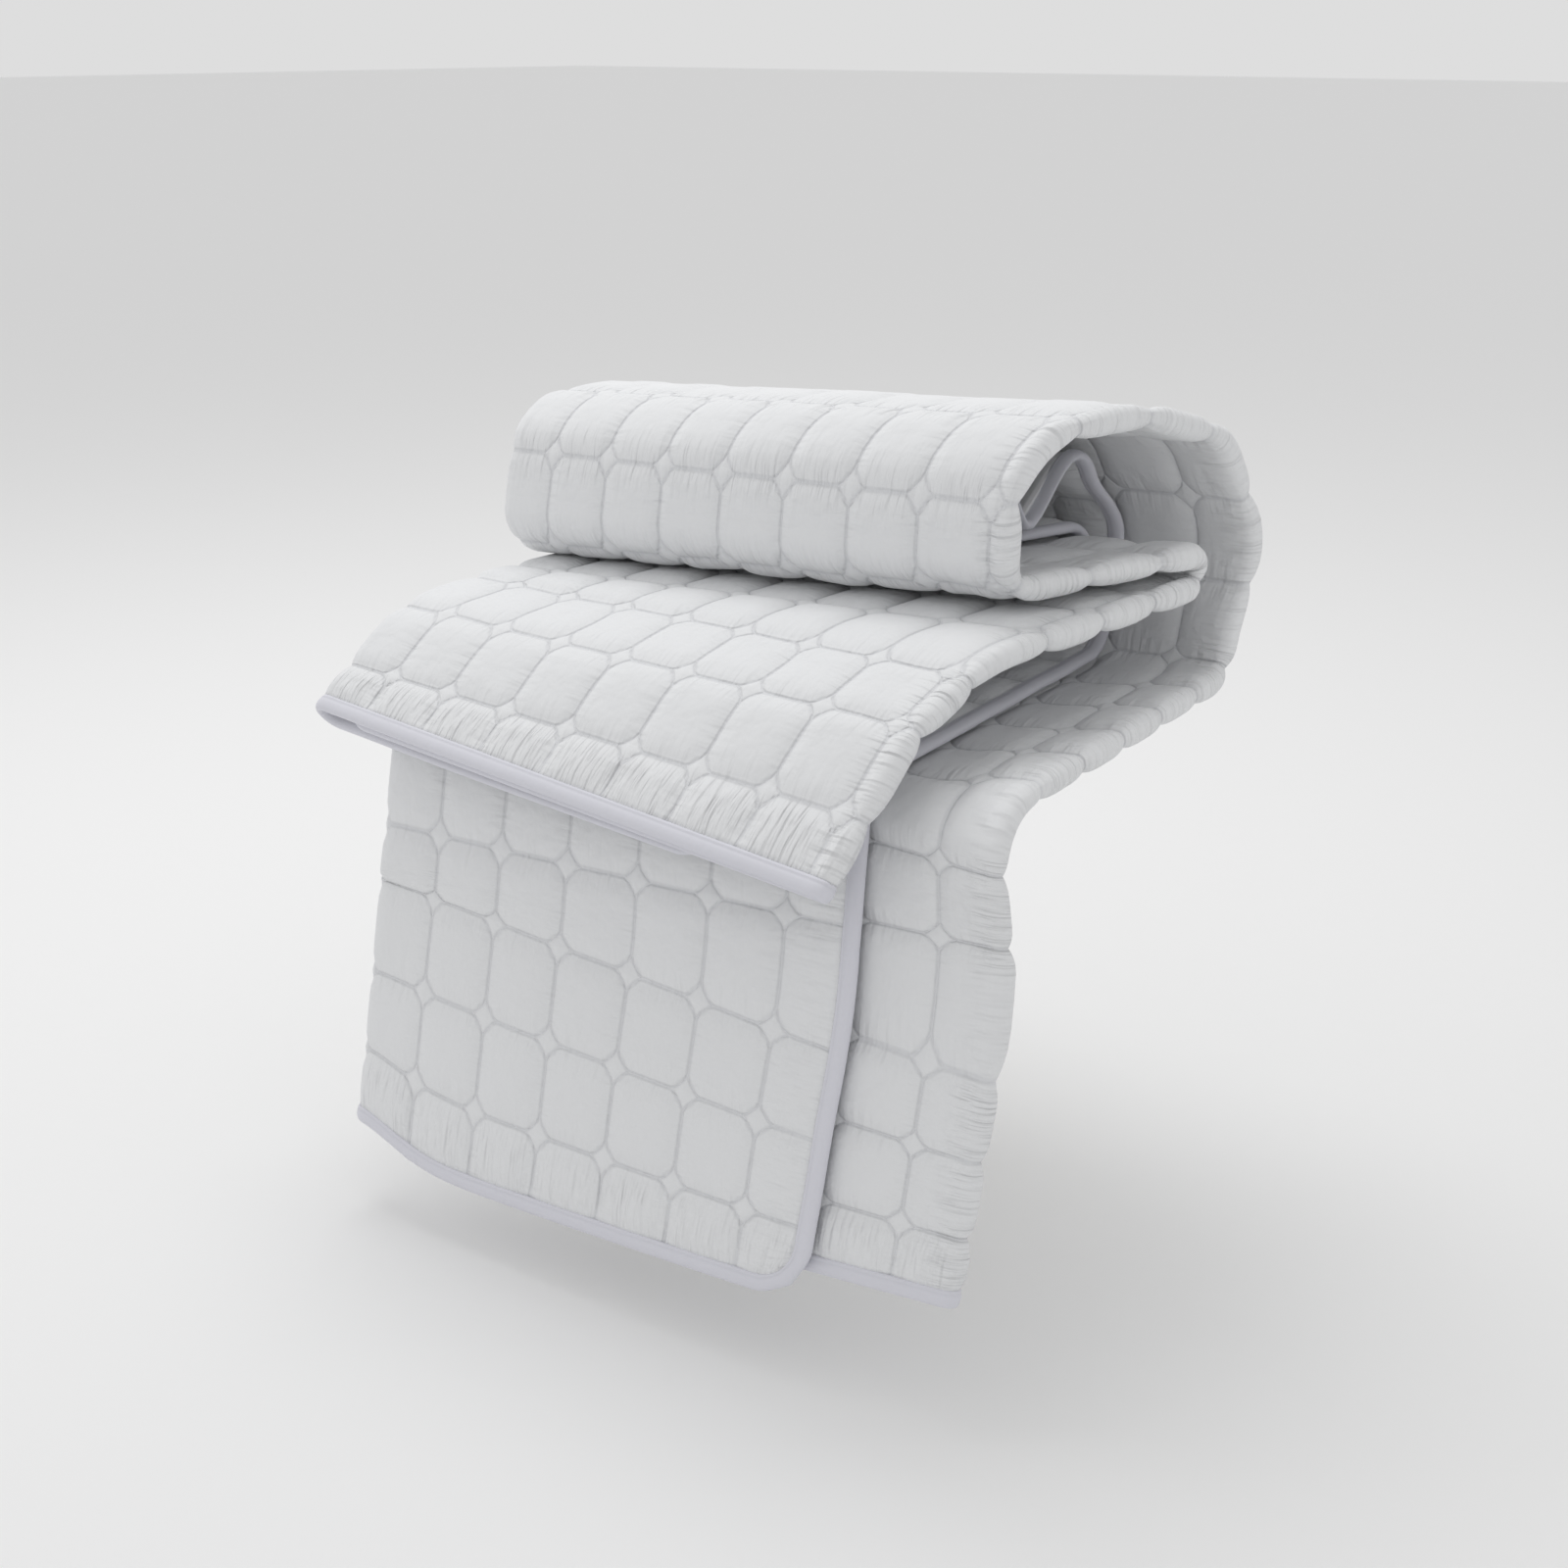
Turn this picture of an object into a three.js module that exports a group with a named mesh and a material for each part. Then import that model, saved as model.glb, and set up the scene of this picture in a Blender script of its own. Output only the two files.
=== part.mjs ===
// Rolled mattress protector: one quilted pad with a bound edge, folded in three across its width, wound
// into a loose loop along its length and laid on a low pedestal table. One end hangs over the front
// edge and the other end comes out from under the loop as a drooping flap.
// Millimetres. +X runs along the roll, +Y to the back, +Z up. The origin is the centre of the foot.
import * as THREE from 'three';

// Pedestal table
const TABLE_HEIGHT = 446;
const TOP = { width: 480, depth: 340, thick: 20, corner: 26, centreX: -5, centreY: 168 };
const COLUMN_RADIUS = 42;
const FOOT = { radius: 112, thick: 22, centreX: -10, centreY: 145 };
const ROUND_SIDES = 32;
const SEAT_GAP = 0.3;

// Quilted pad: thickness, quilting pitch and the heights of the three layers above the outer face
const THICK = 8;
const FRONT_PITCH = 74;
const BACK_PITCH = 77.7;
const ROW_PITCH = 75.4;
const CROWN = 2.4;
const SEAM_DEPTH = 2;
const LAYER_B = THICK / 2;
const LAYER_C = LAYER_B + 11.5;
const LAYER_A = LAYER_C + 13;
const NOMINAL_WIDTH = 628;
const STRIP_WIDTH = 132;
const INNER_EDGE_INSET = 30;
const HEM_TO_FIRST_ROW = 52;
const HEM_SLIP = 27;
const HEM_SLIP_REACH = 400;
const LEFT_FOLD_TO_FIRST_COLUMN = 66;
const CORNER_ROUND = 36;
const LOOSE_AT_FOLD = 0.35;
const LOOSE_REACH = 200;
const LIFT_REACH = 120;

// Mesh steps
const LEAST_STEP = 13;
const FOLD_STEPS = 4;
const BEND_STEP = 0.45;
const LEAST_BEND = 0.12;
const LEAST_BEND_STEP = 1;
const CORNER_STEPS = 5;
const OUTWARD_PROBE = 4;
const INNER_FACE_EVERY = 4;
const HIDDEN_FLAP_SHARE = 0.6;

// Bound edge: a tape folded over the pad's edge, as (distance out, distance along the face's normal)
const BINDING_GAP = 1;
const BINDING_SECTION = [[0, -4.4], [8.5, -4.7], [13, 0], [8.5, 4.7], [0, 4.4]];

// The wound path, as the corners of the band's outer face seen from each end of the roll. It starts at
// the hanging hem and ends at the flap's hem. left and right are [x, y, z] from a point on the table's
// top, radius rounds the corner, loose is how far layer A hangs away from the layer under it, and lift
// is how far the fold between B and C springs up.
const PATH = [
  { at: 'hanging hem', left: [-241, -177, -393], right: [377, -117, -336], radius: 0, loose: 0, lift: 0 },
  { at: 'hanging panel', left: [-272, -102, -161], right: [377, -62, -138], radius: 600, loose: 2, lift: 2 },
  { at: 'table edge', left: [-298, -46, 2.8], right: [356, -26, 2.8], radius: 22, loose: 0, lift: 18 },
  { at: 'back foot', left: [-296, 382, 2.8], right: [307, 392, 2.8], radius: 60, loose: 2, lift: 16 },
  { at: 'back', left: [-316, 388, 140], right: [318, 404, 160], radius: 90, loose: 4, lift: 0 },
  { at: 'back shoulder', left: [-326, 338, 224], right: [306, 350, 257], radius: 70, loose: 12, lift: 0 },
  { at: 'crest', left: [-330, 240, 244], right: [293, 226, 291], radius: 260, loose: 62, lift: 0 },
  { at: 'front shoulder', left: [-340, 118, 243], right: [266, 76, 284], radius: 70, loose: 24, lift: 0 },
  { at: 'front toe', left: [-347, 104, 86], right: [248, 98, 137], radius: 46, loose: 2, lift: 0 },
  { at: 'return fold top', left: [-346, 307, 86], right: [300, 315, 137], radius: 4.4, loose: 0, lift: 0 },
  { at: 'return fold', left: [-346, 307, 77], right: [300, 315, 128], radius: 4.4, loose: 0, lift: 0 },
  { at: 'flap top', left: [-330, 60, 84], right: [290, 28, 126], radius: 130, loose: 30, lift: 0 },
  { at: 'flap slope', left: [-320, -52, 78], right: [278, -64, 82], radius: 110, loose: 2, lift: 0 },
  { at: 'flap hem', left: [-328, -140, 9], right: [262, -146, -20], radius: 0, loose: 6, lift: 0 },
];

const lerp = THREE.MathUtils.lerp;
const smoothstep = THREE.MathUtils.smoothstep;

function straightPiece(from, to, corner) {
  return { from, to, length: from.distanceTo(to), cornerBefore: corner, cornerAfter: corner + 1 };
}

// Straight runs and rounded corners of one end's path, in order.
function sidePieces(side) {
  const corners = PATH.map((row) => new THREE.Vector3(...row[side]));
  const pieces = [];
  let start = corners[0];
  for (let i = 1; i < corners.length - 1; i++) {
    const before = corners[i].clone().sub(corners[i - 1]).normalize();
    const after = corners[i + 1].clone().sub(corners[i]).normalize();
    const angle = before.angleTo(after);
    const radius = PATH[i].radius;
    const reach = radius * Math.tan(angle / 2);
    const enter = corners[i].clone().addScaledVector(before, -reach);
    const leave = corners[i].clone().addScaledVector(after, reach);
    const inward = after.clone().sub(before).normalize();
    const centre = corners[i].clone().addScaledVector(inward, radius / Math.cos(angle / 2));
    const boundSideInside = before.y * after.z - before.z * after.y > 0;
    const middleRadius = radius + (boundSideInside ? -LAYER_C : LAYER_C);
    pieces.push(straightPiece(start, enter, i - 1));
    pieces.push({
      from: enter, to: leave, length: angle * middleRadius, cornerBefore: i, cornerAfter: i,
      before, after, angle, centre,
    });
    start = leave;
  }
  pieces.push(straightPiece(start, corners[corners.length - 1], corners.length - 2));
  return pieces;
}

const leftPieces = sidePieces('left');
const rightPieces = sidePieces('right');
const pieceLengths = leftPieces.map((piece, i) => (piece.length + rightPieces[i].length) / 2);
const PAD_LENGTH = pieceLengths.reduce((sum, length) => sum + length, 0);

// A blend of two directions that turns evenly from one to the other.
function turn(first, last, angle, share) {
  const result = first.clone().multiplyScalar(Math.sin((1 - share) * angle));
  return result.addScaledVector(last, Math.sin(share * angle)).divideScalar(Math.sin(angle));
}

// A point and heading on a piece, at a share of its length from 0 to 1.
function onPiece(piece, share) {
  if (!piece.centre) {
    const heading = piece.to.clone().sub(piece.from).normalize();
    return { point: piece.from.clone().lerp(piece.to, share), heading };
  }
  const first = piece.from.clone().sub(piece.centre);
  const last = piece.to.clone().sub(piece.centre);
  const point = turn(first, last, piece.angle, share).add(piece.centre);
  return { point, heading: turn(piece.before, piece.after, piece.angle, share).normalize() };
}

// The band at a distance v along its length: both ends of the roll, the looseness and the lift there.
function stationAt(v) {
  let index = 0;
  let done = 0;
  while (index < pieceLengths.length - 1 && v > done + pieceLengths[index]) {
    done += pieceLengths[index];
    index += 1;
  }
  const share = (v - done) / pieceLengths[index];
  const piece = leftPieces[index];
  const blend = smoothstep(share, 0, 1);
  const before = PATH[piece.cornerBefore];
  const after = PATH[piece.cornerAfter];
  return {
    left: onPiece(piece, share),
    right: onPiece(rightPieces[index], share),
    loose: lerp(before.loose, after.loose, blend),
    lift: lerp(before.lift, after.lift, blend),
  };
}

// The fold across the width: C runs right, turns down into B, which runs left and turns up into A.
const FOLD_BC = (LAYER_C - LAYER_B) / 2;
const FOLD_AB = (LAYER_A - LAYER_B) / 2;
const WIDTH_PARTS = [
  { name: 'C', length: NOMINAL_WIDTH - FOLD_BC - INNER_EDGE_INSET },
  { name: 'foldBC', length: Math.PI * FOLD_BC },
  { name: 'B', length: NOMINAL_WIDTH - FOLD_BC - FOLD_AB },
  { name: 'foldAB', length: Math.PI * FOLD_AB },
  { name: 'A', length: NOMINAL_WIDTH - STRIP_WIDTH - FOLD_AB },
];
const partStart = (count) => WIDTH_PARTS.slice(0, count).reduce((sum, part) => sum + part.length, 0);
const PAD_WIDTH = partStart(WIDTH_PARTS.length);
const FOLD_AB_START = partStart(3);
const PITCHES_TO_FOLD = (LEFT_FOLD_TO_FIRST_COLUMN - FOLD_AB) / BACK_PITCH;

// Stitched columns up to a place on the flat pad, counted from the one beside the left fold, and back.
// The outer layers are drawn a little wider than the front one.
function columnsAt(u) {
  const past = u - FOLD_AB_START;
  return PITCHES_TO_FOLD + past / (past < 0 ? BACK_PITCH : FRONT_PITCH);
}

function placeOfColumn(count) {
  const past = count - PITCHES_TO_FOLD;
  return FOLD_AB_START + past * (past < 0 ? BACK_PITCH : FRONT_PITCH);
}

const rowsAt = (v) => (v - HEM_TO_FIRST_ROW) / ROW_PITCH;
const placeOfRow = (count) => HEM_TO_FIRST_ROW + count * ROW_PITCH;

// Place across the band: x from its left fold, height above its outer face, and which way that faces.
function acrossAt(u, width, { loose, lift }) {
  let index = 0;
  while (index < WIDTH_PARTS.length - 1 && u > partStart(index + 1)) index += 1;
  const share = (u - partStart(index)) / WIDTH_PARTS[index].length;
  const name = WIDTH_PARTS[index].name;
  const leftRadius = FOLD_AB + loose * LOOSE_AT_FOLD / 2;
  const lifted = (x) => lift * smoothstep(x, width - LIFT_REACH, width);
  if (name === 'C') {
    const x = lerp(INNER_EDGE_INSET, width - FOLD_BC, share);
    return { x, n: LAYER_C + lifted(x), faceX: 0, faceN: 1 };
  }
  if (name === 'B') {
    const x = lerp(width - FOLD_BC, leftRadius, share);
    return { x, n: LAYER_B + lifted(x), faceX: 0, faceN: -1 };
  }
  if (name === 'A') {
    const x = lerp(leftRadius, width - STRIP_WIDTH, share);
    const hang = lerp(LOOSE_AT_FOLD, 1, smoothstep(x, leftRadius, LOOSE_REACH));
    return { x, n: LAYER_A + loose * hang, faceX: 0, faceN: 1 };
  }
  const right = name === 'foldBC';
  const angle = right ? Math.PI * (0.5 - share) : Math.PI * (-0.5 - share);
  const radius = right ? FOLD_BC : leftRadius;
  const centreX = right ? width - radius : radius;
  return {
    x: centreX + radius * Math.cos(angle),
    n: LAYER_B + radius + radius * Math.sin(angle) + (right ? lift : 0),
    faceX: Math.cos(angle),
    faceN: Math.sin(angle),
  };
}

// Rounds the pad's corners: the corner square of the flat pad goes onto a quarter disc.
function roundCorners(u, v) {
  const fromU = Math.min(u, PAD_WIDTH - u);
  const fromV = Math.min(v, PAD_LENGTH - v);
  if (fromU >= CORNER_ROUND || fromV >= CORNER_ROUND) return [u, v];
  const p = 1 - fromU / CORNER_ROUND;
  const q = 1 - fromV / CORNER_ROUND;
  const insetU = CORNER_ROUND * (1 - p * Math.sqrt(1 - q * q / 2));
  const insetV = CORNER_ROUND * (1 - q * Math.sqrt(1 - p * p / 2));
  const roundU = u < PAD_WIDTH / 2 ? insetU : PAD_WIDTH - insetU;
  const roundV = v < PAD_LENGTH / 2 ? insetV : PAD_LENGTH - insetV;
  return [roundU, roundV];
}

// How far layer A has slipped down past the other two: most at its bound edge beside the hanging hem.
function slipAt(u, v) {
  const acrossA = Math.max(0, (u - partStart(4)) / WIDTH_PARTS[4].length);
  return HEM_SLIP * acrossA * (1 - smoothstep(v, 0, HEM_SLIP_REACH));
}

// A point of the pad's middle surface and the direction that its outer face looks.
function padPoint(flatU, flatV) {
  const [u, v] = roundCorners(flatU, flatV);
  const station = stationAt(v - slipAt(u, v));
  const along = station.right.point.clone().sub(station.left.point);
  const width = along.length();
  const place = acrossAt(u, width, station);
  const share = place.x / width;
  const heading = station.left.heading.clone().lerp(station.right.heading, share).normalize();
  const normal = new THREE.Vector3(0, -heading.z, heading.y).normalize();
  along.normalize();
  const point = station.left.point.clone().addScaledVector(along, place.x).addScaledVector(normal, place.n);
  const facing = along.multiplyScalar(place.faceX).addScaledVector(normal, place.faceN).normalize();
  return { point, facing };
}

// Height of the quilting: high in the middle of a cell and low on its seams.
function quilting(u, v) {
  const acrossCell = Math.abs(Math.sin(Math.PI * columnsAt(u)));
  const alongCell = Math.abs(Math.sin(Math.PI * rowsAt(v)));
  return lerp(-SEAM_DEPTH, CROWN, Math.sqrt(acrossCell * alongCell));
}

// Steps along one direction: half a pitch apart from a seam on, with the folds' own steps kept whole.
// Each step is { at, coarse }, and the inner face takes the coarse steps alone.
function stepsFor(length, countAt, placeOf, foldSteps, hidden) {
  const ends = [0, CORNER_ROUND, length - CORNER_ROUND, length];
  const fixed = [...ends, ...foldSteps].map((at) => ({ at, coarse: true }));
  const regular = [];
  for (let half = Math.ceil(2 * countAt(0)); half < 2 * countAt(length); half++) {
    const at = placeOf(half / 2);
    const clear = fixed.every((step) => Math.abs(step.at - at) > LEAST_STEP);
    const coarse = half % INNER_FACE_EVERY === 0;
    if (clear && (coarse || !hidden(at))) regular.push({ at, coarse });
  }
  return [...fixed, ...regular].sort((first, second) => first.at - second.at);
}

function widthSteps() {
  const folds = [];
  for (const part of [1, 3]) {
    const step = WIDTH_PARTS[part].length / FOLD_STEPS;
    for (let i = 0; i <= FOLD_STEPS; i++) folds.push(partStart(part) + step * i);
  }
  const underStrip = partStart(1) - STRIP_WIDTH - BACK_PITCH;
  return stepsFor(PAD_WIDTH, columnsAt, placeOfColumn, folds, (at) => at < underStrip);
}

function lengthSteps() {
  const bends = [];
  const underRoll = { from: 0, to: 0 };
  let start = 0;
  leftPieces.forEach((piece, index) => {
    const corner = PATH[piece.cornerBefore].at;
    if (corner === 'front toe') underRoll.from = start;
    if (corner === 'return fold') underRoll.to = start + pieceLengths[index] * HIDDEN_FLAP_SHARE;
    const angle = piece.centre ? Math.max(piece.angle, rightPieces[index].angle) : 0;
    const steps = Math.ceil(angle / BEND_STEP);
    if (angle > LEAST_BEND) {
      for (let i = 0; i <= steps; i++) bends.push(start + pieceLengths[index] * i / steps);
    }
    start += pieceLengths[index];
  });
  const apart = bends.filter((at, i) => i === 0 || at - bends[i - 1] > LEAST_BEND_STEP);
  const hidden = (at) => at > underRoll.from && at < underRoll.to;
  return stepsFor(PAD_LENGTH, rowsAt, placeOfRow, apart, hidden);
}

const uSteps = widthSteps();
const vSteps = lengthSteps();

function toGeometry(points, triangles) {
  const geometry = new THREE.BufferGeometry();
  const coordinates = points.flatMap((point) => point.toArray());
  geometry.setAttribute('position', new THREE.Float32BufferAttribute(coordinates, 3));
  geometry.setIndex(triangles.flat());
  geometry.computeVertexNormals();
  return geometry;
}

// The pad: a quilted outer face, a plain inner face with fewer steps, and a rim between them.
function quiltedPad() {
  const points = [];
  const triangles = [];
  const facePoint = (u, v, out) => {
    const { point, facing } = padPoint(u, v);
    points.push(point.addScaledVector(facing, out));
    return points.length - 1;
  };
  const rise = (u, v) => {
    const edge = u.at === 0 || v.at === 0 || u.at === PAD_WIDTH || v.at === PAD_LENGTH;
    return edge ? THICK / 2 - SEAM_DEPTH / 2 : THICK / 2 + quilting(u.at, v.at);
  };
  const coarseU = uSteps.filter((step) => step.coarse);
  const coarseV = vSteps.filter((step) => step.coarse);
  const outer = vSteps.map((v) => uSteps.map((u) => facePoint(u.at, v.at, rise(u, v))));
  const inner = coarseV.map((v) => coarseU.map((u) => facePoint(u.at, v.at, -THICK / 2)));
  const addFace = (grid, flip) => {
    for (let j = 0; j < grid.length - 1; j++) {
      for (let i = 0; i < grid[0].length - 1; i++) {
        const [a, b, c, d] = [grid[j][i], grid[j][i + 1], grid[j + 1][i + 1], grid[j + 1][i]];
        const even = (i + j) % 2 === 0;
        const pair = even ? [[a, b, c], [a, c, d]] : [[a, b, d], [b, c, d]];
        for (const triangle of pair) triangles.push(flip ? triangle.reverse() : triangle);
      }
    }
  };
  addFace(outer, false);
  addFace(inner, true);
  // Joins a fine edge row to the coarse one under it.
  const addRim = (fine, fineSteps, coarse, flip) => {
    let under = 0;
    for (let i = 0; i < fine.length - 1; i++) {
      const triangle = [fine[i + 1], fine[i], coarse[under]];
      triangles.push(flip ? triangle.reverse() : triangle);
      if (fineSteps[i + 1].coarse) {
        const closing = [fine[i + 1], coarse[under], coarse[under + 1]];
        triangles.push(flip ? closing.reverse() : closing);
        under += 1;
      }
    }
  };
  const columnOf = (grid, index) => grid.map((row) => row[index]);
  addRim(outer[0], uSteps, inner[0], false);
  addRim(outer[outer.length - 1], uSteps, inner[inner.length - 1], true);
  addRim(columnOf(outer, 0), vSteps, columnOf(inner, 0), true);
  addRim(columnOf(outer, uSteps.length - 1), vSteps, columnOf(inner, coarseU.length - 1), false);
  return toGeometry(points, triangles);
}

// The flat places of the pad's outline, in order.
function outline() {
  const places = [];
  const us = uSteps.map((step) => step.at);
  const vs = vSteps.map((step) => step.at);
  us.slice(0, -1).forEach((u) => places.push([u, 0]));
  vs.slice(0, -1).forEach((v) => places.push([PAD_WIDTH, v]));
  us.slice(1).reverse().forEach((u) => places.push([u, PAD_LENGTH]));
  vs.slice(1).reverse().forEach((v) => places.push([0, v]));
  return places;
}

// A place on the outline and the direction in the cloth that leads straight out of it.
function outwardFrom(u, v) {
  const [roundU, roundV] = roundCorners(u, v);
  const cornerU = roundU < CORNER_ROUND ? CORNER_ROUND : Math.min(roundU, PAD_WIDTH - CORNER_ROUND);
  const cornerV = roundV < CORNER_ROUND ? CORNER_ROUND : Math.min(roundV, PAD_LENGTH - CORNER_ROUND);
  const step = new THREE.Vector2(cornerU - roundU, cornerV - roundV).setLength(OUTWARD_PROBE);
  const edge = padPoint(u, v);
  const insideU = THREE.MathUtils.clamp(u + step.x, 0, PAD_WIDTH);
  const insideV = THREE.MathUtils.clamp(v + step.y, 0, PAD_LENGTH);
  const outward = edge.point.clone().sub(padPoint(insideU, insideV).point);
  outward.addScaledVector(edge.facing, -outward.dot(edge.facing)).normalize();
  return { edge, outward };
}

// The binding: one closed ring of tape that follows the pad's whole outline.
function edgeBinding() {
  const points = [];
  const triangles = [];
  const places = outline();
  const sides = BINDING_SECTION.length;
  for (const [u, v] of places) {
    const { edge, outward } = outwardFrom(u, v);
    for (const [out, up] of BINDING_SECTION) {
      const point = edge.point.clone().addScaledVector(outward, BINDING_GAP + out);
      points.push(point.addScaledVector(edge.facing, up));
    }
  }
  places.forEach((place, index) => {
    const next = (index + 1) % places.length;
    for (let k = 0; k < sides; k++) {
      const [a, b] = [index * sides + k, index * sides + (k + 1) % sides];
      const [c, d] = [next * sides + (k + 1) % sides, next * sides + k];
      triangles.push([a, c, b], [a, d, c]);
    }
  });
  return toGeometry(points, triangles);
}

function tableTop() {
  const halfWidth = TOP.width / 2;
  const halfDepth = TOP.depth / 2;
  const inner = { x: halfWidth - TOP.corner, y: halfDepth - TOP.corner };
  const shape = new THREE.Shape();
  shape.absarc(inner.x, inner.y, TOP.corner, 0, Math.PI / 2);
  shape.absarc(-inner.x, inner.y, TOP.corner, Math.PI / 2, Math.PI);
  shape.absarc(-inner.x, -inner.y, TOP.corner, Math.PI, 1.5 * Math.PI);
  shape.absarc(inner.x, -inner.y, TOP.corner, 1.5 * Math.PI, 2 * Math.PI);
  const settings = { depth: TOP.thick, bevelEnabled: false, curveSegments: CORNER_STEPS };
  return new THREE.ExtrudeGeometry(shape, settings);
}

function upright(radius, height) {
  const geometry = new THREE.CylinderGeometry(radius, radius, height, ROUND_SIDES);
  geometry.rotateX(Math.PI / 2);
  geometry.translate(0, 0, height / 2);
  return geometry;
}

const cloth = new THREE.MeshStandardMaterial({ color: 0xe6e6ec, roughness: 0.9, metalness: 0 });
const tape = new THREE.MeshStandardMaterial({ color: 0xdedee8, roughness: 0.85, metalness: 0 });
const paint = new THREE.MeshStandardMaterial({ color: 0xe9e7e2, roughness: 0.5, metalness: 0 });

function named(name, geometry, material, position = [0, 0, 0]) {
  const mesh = new THREE.Mesh(geometry, material);
  mesh.name = name;
  mesh.position.set(...position);
  return mesh;
}

const group = new THREE.Group();
const columnHeight = TABLE_HEIGHT - TOP.thick - FOOT.thick - 2 * SEAT_GAP;
const column = upright(COLUMN_RADIUS, columnHeight);
group.add(named('table_foot', upright(FOOT.radius, FOOT.thick), paint));
group.add(named('table_column', column, paint, [0, 0, FOOT.thick + SEAT_GAP]));

const pile = new THREE.Group();
pile.position.set(-FOOT.centreX, -FOOT.centreY, TABLE_HEIGHT);
pile.add(named('table_top', tableTop(), paint, [TOP.centreX, TOP.centreY, -TOP.thick]));
pile.add(named('quilted_pad', quiltedPad(), cloth));
pile.add(named('edge_binding', edgeBinding(), tape));
group.add(pile);

export default group;
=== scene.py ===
"""Rolled mattress protector on a low pedestal table. Metres, +Z up, in the part's own frame."""

import logging
import math
from collections.abc import Iterable, Sequence
from dataclasses import dataclass, field
from enum import Enum

import bpy
import numpy as np
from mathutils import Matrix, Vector


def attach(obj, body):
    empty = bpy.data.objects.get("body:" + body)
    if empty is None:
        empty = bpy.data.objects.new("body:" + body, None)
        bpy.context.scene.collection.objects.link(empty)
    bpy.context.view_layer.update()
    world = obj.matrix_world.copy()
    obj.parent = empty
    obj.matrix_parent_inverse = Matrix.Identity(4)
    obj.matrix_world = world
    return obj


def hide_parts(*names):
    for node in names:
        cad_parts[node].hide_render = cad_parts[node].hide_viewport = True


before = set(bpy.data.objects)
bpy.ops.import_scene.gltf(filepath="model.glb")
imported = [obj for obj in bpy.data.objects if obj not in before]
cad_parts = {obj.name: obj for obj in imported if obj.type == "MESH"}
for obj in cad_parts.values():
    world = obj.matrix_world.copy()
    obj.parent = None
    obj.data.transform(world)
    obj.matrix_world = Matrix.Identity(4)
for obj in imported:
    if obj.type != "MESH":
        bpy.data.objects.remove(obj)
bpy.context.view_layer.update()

BODY = "root"
PILE_ORIGIN = np.array([0.01, -0.145, 0.446])

log = logging.getLogger("mattress_protector")

Array = np.ndarray
Pair = tuple[float, float]
Socket = bpy.types.NodeSocket
Point = tuple[float, float, float]


class Side(Enum):
    """The two ends of the roll."""

    LEFT = "left"
    RIGHT = "right"


class Layer(Enum):
    """The parts that the pad's width is folded into, in order from its free inner edge."""

    STRIP = 0
    RIGHT_FOLD = 1
    FACE = 2
    LEFT_FOLD = 3
    FRONT = 4


def smooth_blend(value: Array, low: float | Array, high: float | Array) -> Array:
    """Blends evenly from 0 at low to 1 at high.

    Args:
        value: Numbers to blend.
        low: Where the blend starts.
        high: Where the blend ends.

    Returns:
        The blend at each number, from 0 to 1.
    """
    share = np.clip((value - low) / (high - low), 0.0, 1.0)
    return share * share * (3.0 - 2.0 * share)


def mix(first: Array, last: Array, share: Array) -> Array:
    """Goes straight from first to last by a share."""
    return first + (last - first) * share


def unit(vectors: Array) -> Array:
    """Scales each vector to length 1."""
    return vectors / np.linalg.norm(vectors, axis=-1, keepdims=True)


@dataclass(frozen=True)
class PathCorner:
    """One corner of the wound path, given for both ends of the roll from the table's top.

    radius rounds it, loose is how far the front layer hangs away, and lift is how far the right fold
    springs up.
    """

    place: str
    left: Point
    right: Point
    radius: float
    loose: float
    lift: float


WOUND_PATH = (
    PathCorner("hanging hem", (-0.241, -0.177, -0.393), (0.377, -0.117, -0.336), 0, 0, 0),
    PathCorner("hanging panel", (-0.272, -0.102, -0.161), (0.377, -0.062, -0.138), 0.6, 0.002, 0.002),
    PathCorner("table edge", (-0.298, -0.046, 0.0028), (0.356, -0.026, 0.0028), 0.022, 0, 0.018),
    PathCorner("back foot", (-0.296, 0.382, 0.0028), (0.307, 0.392, 0.0028), 0.06, 0.002, 0.016),
    PathCorner("back", (-0.316, 0.388, 0.14), (0.318, 0.404, 0.16), 0.09, 0.004, 0),
    PathCorner("back shoulder", (-0.326, 0.338, 0.224), (0.306, 0.35, 0.257), 0.07, 0.012, 0),
    PathCorner("crest", (-0.33, 0.24, 0.244), (0.293, 0.226, 0.291), 0.26, 0.062, 0),
    PathCorner("front shoulder", (-0.34, 0.118, 0.243), (0.266, 0.076, 0.284), 0.07, 0.024, 0),
    PathCorner("front toe", (-0.347, 0.104, 0.086), (0.248, 0.098, 0.137), 0.046, 0.002, 0),
    PathCorner("return fold top", (-0.346, 0.307, 0.086), (0.3, 0.315, 0.137), 0.0044, 0, 0),
    PathCorner("return fold", (-0.346, 0.307, 0.077), (0.3, 0.315, 0.128), 0.0044, 0, 0),
    PathCorner("flap top", (-0.33, 0.06, 0.084), (0.29, 0.028, 0.126), 0.13, 0.03, 0),
    PathCorner("flap slope", (-0.32, -0.052, 0.078), (0.278, -0.064, 0.082), 0.11, 0.002, 0),
    PathCorner("flap hem", (-0.328, -0.14, 0.009), (0.262, -0.146, -0.02), 0, 0.006, 0),
)


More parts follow.
